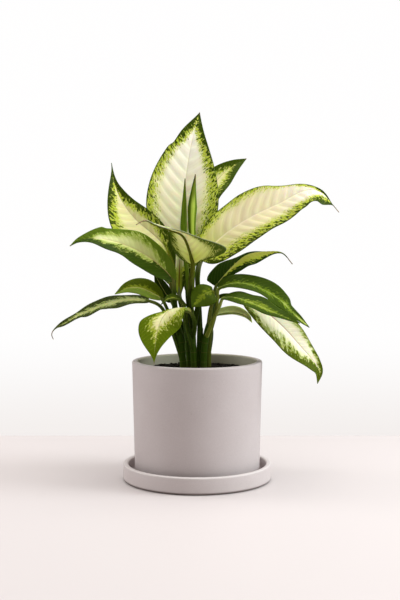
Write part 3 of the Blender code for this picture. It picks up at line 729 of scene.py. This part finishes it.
def colour_between(a, b, share):
    """A colour between two, with one share of the second or a share for each channel."""
    shares = share if isinstance(share, tuple) else (share,) * 3
    return tuple((1 - k) * x + k * y for x, y, k in zip(a, b, shares))


def leaf_light(weight):
    """The inputs that let some light through leaf tissue."""
    return dict(Subsurface_Weight=weight, Subsurface_Radius=(0.7, 1.0, 0.3), Subsurface_Scale=0.0012, IOR=1.42,
                Specular_IOR_Level=0.04)


def blade_material(name, marks, seed, under):
    paint = Skin(name)
    s, v, from_rib = paint.parts("place")
    vein, reach, edge = paint.parts("measure")
    row, margin, _ = paint.parts("grain")
    second = paint.math("GREATER_THAN", v, 0.0)

    broad = paint.grain(vein * 0.045, reach * 0.04, seed, detail=1.0)
    streaks = paint.grain(vein * (0.40 * marks["comb"]), reach * 0.08, seed + 3.7, detail=3.0, roughness=0.6)
    streaks = streaks.ramp(0.30, 0.70)
    specks = paint.grain(vein * 0.36, reach * 0.32, seed + 9.1, detail=1.5, roughness=0.6).ramp(0.33, 0.67)
    dots = paint.grain(vein * 0.52, reach * 0.46, seed + 2.3, detail=1.0).ramp(0.53, 0.58)
    wash = paint.grain(vein * 0.13, reach * 0.03, seed + 5.0, detail=2.0)

    # depth is how far a place lies inside the green margin
    closing = 2.3 * marks["tip"]
    tip = paint.math("POWER", paint.math("DIVIDE", s - (1 - closing), closing, clamp=True), 2.4) * 1.35
    base = s.ramp(marks["base"], 0.0, 0.0, marks["base_green"])
    depth = margin + tip + base - (1.0 - abs(v)) + (broad - 0.5) * marks["patches"]
    reaching = 0.22 * marks["feather"]
    if marks["flare"]:
        reaching = s.ramp(0.5, 0.85, reaching, reaching * (1 + marks["flare"]))
    mottled = depth + (streaks - 0.5) * reaching + (specks - 0.5) * (0.24 * marks["specks"])
    limed = depth + (streaks - 0.5) * (0.12 * marks["feather"]) + (specks - 0.5) * (-0.20 * marks["specks"])
    green = mottled.ramp(-0.02, 0.04)

    # Pale tissue
    washed = colour_between(BLACK, marks["pale"], (0.90, 0.87, 0.86))
    pale = paint.mix(wash.ramp(0.42, 0.72, 0.0, 0.7), marks["pale"], washed)
    if marks["far"]:
        pale = paint.mix(s.ramp(0.45, 0.85), pale, marks["far"])
    near = marks["near"] or colour_between(BUTTER, marks["pale"], 0.52)
    pale = paint.mix(s.ramp(marks["near_end"], 0.0), pale, near)

    # Side veins are a little lighter than the tissue between them
    wave = abs(paint.math("FRACT", row + (wash - 0.5) * 0.35) - 0.5)
    between_veins = wave.ramp(0.38, 0.16, 0.0, 0.6 * marks["vein"]) * streaks.ramp(0.1, 0.8, 0.4, 1.0)
    pale = paint.mix(between_veins, pale, paint.mix(1.0, pale, (0.90, 0.84, 0.87), blend="MULTIPLY"))

    # Lime, green with light dots in it, and dark green towards the edge
    yellow = colour_between(marks["lime"], marks["pale"], (0.5, 0.5, 0.4))
    colour = paint.mix(depth.ramp(-0.40, -0.10, 0.0, 0.75), pale, yellow)
    colour = paint.mix(limed.ramp(-0.17, 0.0), colour, marks["lime"])
    # Greens of each half; on some leaves one half is painted lighter as lit and the other darker as shade
    green_of_side, deep_of_side = [
        paint.mix(second, *given) if isinstance(given, list) else given for given in (marks["green"], marks["deep"])
    ]
    leafy = paint.mix(mottled.ramp(0.05, 0.25), green_of_side, deep_of_side)
    dot = colour_between(marks["lime"], marks["pale"], (0.45, 0.45, 0.25))
    colour = paint.mix(green, colour, paint.mix(dots * mottled.ramp(0.32, 0.04), leafy, dot))
    vein_line = wave.ramp(0.42, 0.5, 0.0, 0.25 * marks["vein"])
    colour = paint.mix(vein_line, colour, paint.mix(0.3, colour, (0.80, 0.82, 0.16)))

    # The midrib, with a yellow band and a dark crease at the base of some leaves
    rib = from_rib.ramp(0.62 * marks["rib_size"], 0.22 * marks["rib_size"]) * s.ramp(0.97, 0.7)
    if marks["band"]:
        band = from_rib.ramp(2.2, 1.0) * s.ramp(0.34, 0.08, 0.0, marks["band"])
        colour = paint.mix(band, colour, (0.34, 0.40, 0.035))
        crease = from_rib.ramp(0.45, 0.15) * s.ramp(0.30, 0.12, 0.0, marks["band"])
        colour = paint.mix(crease, colour, (0.22, 0.11, 0.015))
        rib = rib * s.ramp(0.12, 0.32)
    colour = paint.mix(rib * 0.85, colour, marks["rib"])

    # The edge line is dark green; where edge is given, the first half's edge away from the base is a painted
    # highlight
    rim = deep_of_side
    if marks["edge"]:
        rim = paint.mix((1.0 - second) * s.ramp(0.12, 0.3), rim, marks["edge"])
    colour = paint.mix(edge.ramp(marks["edge_size"], 0.3, 0.0, 0.8), colour, rim)
    if under:
        colour = paint.mix(0.25, colour, paint.mix(green, (0.66, 0.68, 0.26), (0.13, 0.17, 0.03)))
    if marks["dry"]:
        crisp = (s + (specks - 0.5) * 0.02).ramp(1 - marks["dry"], 1 - marks["dry"] * 0.75)
        colour = paint.mix(crisp, colour, paint.mix(streaks, (0.12, 0.065, 0.03), (0.38, 0.27, 0.17)))

    skin = paint.grain(vein * 3.2, reach * 3.2, seed, detail=3.0)
    bump, matt, mattest, light = (0.6, 0.50, 0.62, 0.6) if under else (0.5, 0.36, 0.48, 0.45)
    normal = paint.bump(skin * 0.25 + wave.ramp(0.30, 0.5) * -0.6, 0.00022, bump)
    return paint.finish(Base_Color=colour, Roughness=skin.ramp(0.3, 0.8, matt, mattest), Normal=normal,
                        **leaf_light(light))


def stalk_material(name, marks):
    paint = Skin(name)
    climb, _, keel = paint.parts("place")
    run, x, y = paint.parts("measure")
    streaks = paint.grain(run * 0.025, x * 0.5, y * 0.5, detail=3.0, roughness=0.6)
    mottle = paint.grain(run * 0.4, x * 0.6, y * 0.6, detail=2.0)
    # The stalk is painted darker towards the cane as painted shade, and its lighter streaks are painted highlights
    light = tuple(2.2 * channel + 0.01 for channel in marks["stalk_top"])
    colour = paint.mix(climb.ramp(0.45, 1.0), marks["stalk"], marks["stalk_top"])
    colour = paint.mix(streaks.ramp(0.45, 0.72, 0.0, 0.6), colour, light)
    colour = paint.mix(mottle.ramp(0.45, 0.7, 0.0, 0.7), colour, colour_between(BLACK, marks["stalk"], 0.4))
    colour = paint.mix(keel * 0.6, colour, colour_between(marks["rib"], marks["stalk_top"], 0.8))
    return paint.finish(Base_Color=colour, Roughness=mottle.ramp(0.3, 0.8, 0.32, 0.5),
                        Normal=paint.bump(streaks, 0.0003, 0.5), **leaf_light(0.12))


def build_leaf(name, spec, seed):
    points, faces, slots, coordinates = blade_surface(name, spec)
    more_points, more_faces, more_slots, more = stalk_surface(spec, len(points))
    points = np.concatenate([points, more_points])
    coordinates = {key: np.concatenate([value, more[key]]) for key, value in coordinates.items()}
    materials = [
        blade_material(f"leaf_{name}_upper", spec["marks"], seed, under=False),
        blade_material(f"leaf_{name}_under", spec["marks"], seed, under=True),
        stalk_material(f"leaf_{name}_stalk", spec["marks"]),
    ]
    made = make_object("foliage_" + name, points, faces + more_faces, materials, slots + more_slots, coordinates)
    stands_for(made, "leaf", "leaf_" + name)


# Canes and new leaves

def build_rod(name, places, run, radii, turn, shape, skin):
    """A closed rod. Its marks are drawn in the run along it and in the place round it."""
    upper = np.tile([[math.sin(turn), -math.cos(turn), 0.0]], (len(places), 1))
    points, faces, slots = closed_tube(swept(places, radii, upper, shape), 0, 0)
    round_to = ANGLES + turn
    measure = tube_vectors(run[:, None], ROD_MARKS * np.sin(round_to), ROD_MARKS * np.cos(round_to))
    return make_object(name, points, faces, [skin], slots, {"measure": measure})


def cane_material(name):
    # Canes inside the clump take the darker tones, which are painted shade
    low, high = LIT_AND_SHADED_CANE_TONES.get(name, LIT_AND_SHADED_CANE_TONES["other"])
    paint = Skin("cane_skin_" + name)
    run, x, y = paint.parts("measure")
    streaks = paint.grain(run * 0.05, x * 0.4, y * 0.4, detail=3.0)
    ring = abs(paint.math("FRACT", run * (1 / CANE_RING)) - 0.5)
    colour = paint.mix(streaks, low, high)
    colour = paint.mix(ring.ramp(0.44, 0.49, 0.0, 0.5), colour, (0.12, 0.10, 0.03))
    colour = paint.mix(run.ramp(34.0, 22.0, 0.0, 0.5), colour, (0.09, 0.07, 0.02))
    return paint.finish(Base_Color=colour, Roughness=streaks.ramp(0.3, 0.8, 0.4, 0.6),
                        Normal=paint.bump(streaks, 0.0004, 0.6), **leaf_light(0.08))


def build_cane(name):
    line, radii = cane_line(name)
    run = distances(line)
    share = np.linspace(0, 1, int(run[-1] / CANE_STEP))
    at = share * run[-1]
    ring = np.abs((at / CANE_RING) % 1 - 0.5)
    thick = np.interp(at, run, radii) * (1 - 0.035 * ease(0.36, 0.5, ring) + 0.015 * ease(0.2, 0.36, ring))
    thick[-1] *= 0.8

    def shape(t, angle):
        return 1 + 0.02 * np.sin(3 * angle + t * 5)

    made = build_rod("stem_" + name, along_line(line, share), at, thick, 0.0, shape, cane_material(name))
    stands_for(made, "cane", "cane_" + name)


def spear_material(name, spec, length):
    paint = Skin("new_leaf_" + name)
    run, x, y = paint.parts("measure")
    s = run * (1 / length)
    streaks = paint.grain(run * 0.06, x * 0.9, y, detail=3.0)
    low, high = spec["ends"]
    left, right = spec["sides"]
    across = x.ramp(left - 0.9, left + 0.3) * x.ramp(right + 0.9, right - 0.3)
    along = s.ramp(low - 0.2, low) * s.ramp(high + 0.1, high)
    seam = abs(x - spec["seam"]).ramp(1.3, 0.4)
    colour = paint.mix(streaks.ramp(0.3, 0.7), (0.085, 0.150, 0.006), (0.125, 0.195, 0.012))
    # A lighter streak painted as a highlight down the new leaf's lit side
    colour = paint.mix(across, colour, paint.mix(along, (0.16, 0.215, 0.02), spec["highlight_streak"]))
    colour = paint.mix(seam * 0.8, colour, (0.055, 0.095, 0.003))
    colour = paint.mix(s.ramp(0.9, 0.99), colour, (0.10, 0.09, 0.02))
    return paint.finish(Base_Color=colour, Roughness=streaks.ramp(0.3, 0.8, 0.3, 0.45),
                        Normal=paint.bump(streaks, 0.0004, 0.6), **leaf_light(0.15))


def build_spear(name, spec):
    line = smooth_line([foot_place(spec["cane"], spec["foot"])] + [sight(place) for place in spec["line"]])
    share = np.linspace(0, 1, SPEAR_ROWS)
    run = distances(line)
    at = share * run[-1]
    count = len(spec["radii"])
    thick = np.interp(np.interp(at, run, np.linspace(0, count - 1, len(line))), range(count), spec["radii"])

    def shape(t, angle):
        wound = ((angle + 1.4 * t) / (2 * np.pi)) % 1
        return 0.97 + 0.05 * wound * ease(0.25, 0.5, t)

    skin = spear_material(name, spec, run[-1])
    made = build_rod("rolled_leaf_" + name, along_line(line, share), at, thick, spec["turn"], shape, skin)
    stands_for(made, "new_leaf", "spear_" + name)


# Pot, saucer and soil

def arc(radius, height, size, start, end, steps=8):
    angles = np.radians(np.linspace(start, end, steps + 1))
    return [(radius + size * math.cos(angle), height + size * math.sin(angle)) for angle in angles]


def rim_profile(inner, outer, up):
    """The top of a wall, from its inner side to its outer one."""
    low = up - RIM_ROUND
    return arc(inner + RIM_ROUND, low, RIM_ROUND, 180, 90) + arc(outer - RIM_ROUND, low, RIM_ROUND, 90, 0)


def fine_profile(profile):
    made = [profile[0]]
    for a, b in zip(profile, profile[1:]):
        pieces = max(1, int(math.dist(a, b) / PROFILE_STEP))
        for k in range(1, pieces + 1):
            made.append((a[0] + (b[0] - a[0]) * k / pieces, a[1] + (b[1] - a[1]) * k / pieces))
    return made


def lathe(name, profile, material, closed):
    """A profile of (radius, height), running down its outer side, turned about the upright axis."""
    if closed:
        profile = fine_profile(profile + profile[:1])[:-1]
    else:
        profile = fine_profile(profile)
    turns = np.linspace(0, 2 * np.pi, LATHE_SIDES, endpoint=False)
    rings = np.array([[(r * math.cos(a), r * math.sin(a), z) for a in turns] for r, z in profile])
    faces = grid_faces(len(profile), LATHE_SIDES, wrap=True, flip=True)
    points = rings.reshape(-1, 3)
    first, last = len(points), len(points) + 1
    end = first - LATHE_SIDES
    sides = [(k, (k + 1) % LATHE_SIDES) for k in range(LATHE_SIDES)]
    if closed:
        faces += [[end + after, end + k, k, after] for k, after in sides]
    else:
        points = np.concatenate([points, [[0, 0, profile[0][1]], [0, 0, profile[-1][1]]]])
        faces += [[k, after, first] for k, after in sides]
        faces += [[end + after, end + k, last] for k, after in sides]
    return make_object(name, points, faces, [material])


def pot_outer_radius(height):
    share = (height - SAUCER_FLOOR) / (POT_RIM_UP - SAUCER_FLOOR)
    return POT_FOOT_RADIUS + (POT_RADIUS - POT_FOOT_RADIUS) * share


def ceramic_material():
    paint = Skin("matt_ceramic")
    where = paint.out("Object", "TexCoord")
    x, y, up = paint.parts(where)
    across = paint.math("SQRT", x * x + y * y)
    cloud = paint.noise(where, scale=14.0, detail=3.0)
    grain = paint.noise(where, scale=900.0, detail=2.0)
    pores = paint.noise(where, scale=260.0, detail=3.0, roughness=0.7)
    colour = paint.mix(cloud.ramp(0.3, 0.7), (0.462, 0.404, 0.397), (0.492, 0.437, 0.430))
    colour = paint.mix(pores.ramp(0.66, 0.76, 0.0, 0.35), colour, (0.36, 0.31, 0.28))
    colour = paint.mix(grain.ramp(0.3, 0.8, 0.0, 0.15), colour, (0.66, 0.62, 0.59))

    # Radii and heights are in metres. Painted light: the saucer's wall is lighter, its rim a highlight, its foot a
    # dark contact shadow
    wall = across.ramp(0.0785, 0.0805)
    colour = paint.mix(wall * 0.11, colour, (1.0, 0.93, 0.89))
    colour = paint.mix(wall * up.ramp(0.0184, 0.0194, 0.0, 0.5), colour, (0.80, 0.75, 0.72))
    colour = paint.mix(up.ramp(0.0036, 0.0016, 0.0, 0.9), colour, (0.13, 0.10, 0.09))
    # The pot's inner wall is painted darker and olive, as painted shade and a painted reflection of the leaves'
    # green
    painted_inner_shade = across.ramp(0.0715, 0.0690) * up.ramp(0.030, 0.034)
    colour = paint.mix(painted_inner_shade * 0.8, colour, paint.mix(cloud, (0.29, 0.28, 0.17), (0.38, 0.365, 0.24)))

    height = grain * 0.3 + pores.ramp(0.60, 0.78, 0.0, -1.0)
    normal = paint.bump(height, 0.00012, 0.7, Normal=paint.bump(cloud, 0.0015, 0.35))
    return paint.finish(Base_Color=colour, Roughness=pores.ramp(0.3, 0.8, 0.52, 0.7), Normal=normal)


def build_saucer(material):
    inner = SAUCER_RADIUS - SAUCER_WALL
    profile = [(NEAR_AXIS, SAUCER_FLOOR)]
    profile += arc(inner - SAUCER_ROUND, SAUCER_FLOOR + SAUCER_ROUND, SAUCER_ROUND, 270, 360)
    profile += rim_profile(inner, SAUCER_RADIUS, SAUCER_HEIGHT) + [(SAUCER_RADIUS, 4.0)]
    profile += arc(SAUCER_RADIUS - SAUCER_ROUND, SAUCER_ROUND, SAUCER_ROUND, 0, -60)[1:]
    profile += [(SAUCER_FOOT_RADIUS - 1.0, 0.0), (NEAR_AXIS, 0.0)]
    made = lathe("saucer_dish", profile, material, closed=False)
    stands_for(made, "ceramic", "saucer")


def build_pot(material):
    foot = SAUCER_FLOOR + GAP
    floor = foot + POT_FLOOR
    profile = rim_profile(POT_RADIUS - POT_WALL, POT_RADIUS, POT_RIM_UP)
    profile += arc(POT_FOOT_RADIUS - POT_FOOT_ROUND, foot + POT_FOOT_ROUND, POT_FOOT_ROUND, 0, -90)
    profile += [(DRAIN_RADIUS, foot), (DRAIN_RADIUS, floor), (pot_outer_radius(floor) - POT_WALL, floor)]
    made = lathe("pot_body", profile, material, closed=True)
    stands_for(made, "ceramic", "pot")


def soil_material():
    paint = Skin("potting_mix")
    where = paint.out("Object", "TexCoord")
    lumps = paint.noise(where, scale=220.0, detail=5.0, roughness=0.7)
    bits = paint.noise(where, scale=700.0, detail=3.0)
    colour = paint.mix(lumps.ramp(0.35, 0.7), (0.003, 0.002, 0.001), (0.012, 0.007, 0.002))
    colour = paint.mix(bits.ramp(0.68, 0.76), colour, (0.09, 0.058, 0.030))
    normal = paint.bump(lumps + bits * 0.4, 0.0012, 0.9)
    return paint.finish(Base_Color=colour, Roughness=0.95, Specular_IOR_Level=0.12, Normal=normal)


def lumpy(x, y):
    return (1.3 * noise.noise(Vector((x / 11, y / 11, 0.3))) + 0.9 * noise.noise(Vector((x / 3.4, y / 3.4, 4.0)))
            + 0.5 * noise.noise(Vector((x / 1.5, y / 1.5, 8.0))))


def build_soil(material):
    """The soil's crumbly surface, its side and its floor."""
    bottom = SAUCER_FLOOR + POT_FLOOR + 2 * GAP
    outer = pot_outer_radius(SOIL_UP) - POT_WALL - GAP
    radii = outer * (np.arange(SOIL_RINGS, 0, -1) / SOIL_RINGS)
    turns = np.linspace(0, 2 * np.pi, SOIL_SIDES, endpoint=False)
    r, turn = np.meshgrid(radii, turns, indexing="ij")
    x, y = r * np.cos(turn), r * np.sin(turn)
    rough = np.array([lumpy(*place) for place in zip(x.ravel(), y.ravel())]).reshape(x.shape)
    z = SOIL_UP + SOIL_CROWN * (1 - (r / outer) ** 2) + rough * np.where(r > outer * 0.985, 0.3, 1.0)
    low_radius = pot_outer_radius(bottom) - POT_WALL - 2 * GAP
    low = as_vectors(low_radius * np.cos(turns), low_radius * np.sin(turns), bottom)
    points = np.concatenate([low, as_vectors(x, y, z), [[0, 0, SOIL_UP + SOIL_CROWN], [0, 0, bottom]]])
    faces = grid_faces(SOIL_RINGS + 1, SOIL_SIDES, wrap=True)
    end = SOIL_RINGS * SOIL_SIDES
    top_centre, low_centre = len(points) - 2, len(points) - 1
    faces += [[end + k, end + (k + 1) % SOIL_SIDES, top_centre] for k in range(SOIL_SIDES)]
    faces += [[(k + 1) % SOIL_SIDES, k, low_centre] for k in range(SOIL_SIDES)]
    made = make_object("potting_soil", points, faces, [material])
    stands_for(made, "soil", "soil")


def build_crumbs(material):
    """Lumps of soil and bark lying on the surface, each a small rough stone shape."""
    draw = np.random.default_rng(CRUMB_SEED)
    outer = pot_outer_radius(SOIL_UP) - POT_WALL
    phi = np.linspace(0.25, np.pi - 0.25, CRUMB_RINGS)[:, None]
    theta = np.linspace(0, 2 * np.pi, CRUMB_SIDES, endpoint=False)
    ball = as_vectors(np.sin(phi) * np.cos(theta), np.sin(phi) * np.sin(theta), np.cos(phi))
    ball = ball.reshape(CRUMB_RINGS, CRUMB_SIDES, 3)
    points, faces = [], []
    total = 0
    for _ in range(CRUMBS):
        radius = (outer - CRUMB_CLEARANCE) * math.sqrt(draw.random())
        angle = draw.random() * 2 * np.pi
        size = 0.5 + 1.5 * draw.random() ** 2.5
        stretch = np.array([1 + 0.8 * draw.random(), 0.7 + 0.4 * draw.random(), 0.55 + 0.3 * draw.random()])
        form = ball * (1 + 0.22 * draw.standard_normal(ball.shape[:2])[..., None]) * stretch * size
        turn = draw.random() * 2 * np.pi
        cos, sin = math.cos(turn), math.sin(turn)
        lift = SOIL_UP + SOIL_CROWN * (1 - (radius / outer) ** 2) + 0.2 * size
        place = np.array([radius * math.cos(angle), radius * math.sin(angle), lift])
        form = form @ np.array([[cos, -sin, 0], [sin, cos, 0], [0, 0, 1]]) + place
        more_points, more_faces, _ = closed_tube(form, total, 0)
        points.append(more_points)
        faces += more_faces
        total += len(more_points)
    made = make_object("soil_crumbs", np.concatenate(points), faces, [material], smooth=False)
    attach(made, "root")


# Floor, light and camera

def floor_material():
    paint = Skin("pale_table")
    cloud = paint.noise(paint.out("Object", "TexCoord"), scale=3.0, detail=2.0)
    colour = paint.mix(cloud, (0.650, 0.596, 0.586), (0.670, 0.615, 0.605))
    return paint.finish(Base_Color=colour, Roughness=0.55)


def build_floor():
    """A table top with a rounded far edge."""
    left, right, front, back = -2500.0, 2500.0, -3000.0, 264.0
    profile = [(front, 0), (back, 0), *arc(back, -3, 3, 75, 0, steps=5), (back + 3, -25)]
    points = [(x, depth, up) for depth, up in profile for x in (left, right)]
    faces = grid_faces(len(profile), 2)
    made = make_object("floor", points, faces, [floor_material()])


# Place, target, size, power and colour
LIGHTS = {
    "key": ((1.437, -0.19, 0.72), (0, 0, 0.15), 0.7, 19.3, (0.93, 1.0, 1.03)),
    "top": ((0.1, 0.02, 1.7), (0, 0, 0.25), 1.2, 19.0, (1.0, 0.99, 0.97)),
    "side": ((-1.32, 0.32, 0.5), (0, 0, 0.12), 0.6, 7.0, (1.0, 0.98, 0.98)),
}


def area_light(name, place, target, size, power, colour):
    lamp = bpy.data.lights.new(name, "AREA")
    lamp.size = size
    lamp.energy = power
    lamp.color = colour
    made = bpy.data.objects.new(name, lamp)
    made.location = place
    made.rotation_euler = (Vector(target) - Vector(place)).to_track_quat("-Z", "Y").to_euler()
    bpy.context.scene.collection.objects.link(made)


def build_world():
    """Light from all round, and a white backdrop that greys a little towards the floor."""
    world = bpy.data.worlds.new("studio")
    bpy.context.scene.world = world
    world.use_nodes = True
    paint = Paint(world.node_tree)
    _, _, up = paint.parts(paint.out("Generated", "TexCoord"))
    ends = {"From Min": -0.2, "From Max": 1.0, "To Min": 0.30, "To Max": 0.68}
    fill = world.node_tree.nodes["Background"]
    paint.set(fill.inputs["Color"], (1.0, 0.975, 0.962))
    paint.set(fill.inputs["Strength"], paint.out("Result", "MapRange", {"Value": up, **ends}))
    backdrop = paint.mix(up.ramp(-0.20, -0.09), (0.90, 0.86, 0.84), (1.0, 0.995, 0.995))
    seen = paint.out("Background", "Background", {"Color": backdrop, "Strength": 1.0})
    inputs = {0: paint.out("Is Camera Ray", "LightPath"), 1: Output(paint, fill.outputs["Background"]), 2: seen}
    shown = paint.out("Shader", "MixShader", inputs)
    paint.set(world.node_tree.nodes["World Output"].inputs["Surface"], shown)


def build_camera():
    view = bpy.data.cameras.new("eye")
    view.lens = LENS
    view.sensor_width = SENSOR
    view.clip_start = 0.05
    view.clip_end = 20.0
    made = bpy.data.objects.new("eye", view)
    made.location = (EYE_ACROSS * MM, -EYE_DISTANCE * MM, EYE_UP * MM)
    made.rotation_euler = (math.pi / 2 - EYE_PITCH, 0, 0)
    bpy.context.scene.collection.objects.link(made)
    bpy.context.scene.camera = made


def main():
    for index, (name, spec) in enumerate(LEAVES.items()):
        build_leaf(name, spec, FIRST_LEAF_SEED + LEAF_SEED_STEP * index)
    for name in CANES:
        build_cane(name)
    for name, spec in SPEARS.items():
        build_spear(name, spec)
    ceramic = ceramic_material()
    build_saucer(ceramic)
    build_pot(ceramic)
    soil = soil_material()
    build_soil(soil)
    build_crumbs(soil)
    build_floor()
    build_world()
    for name, given in LIGHTS.items():
        area_light(name, *given)
    build_camera()
    bpy.context.scene.view_settings.view_transform = "Standard"


main()
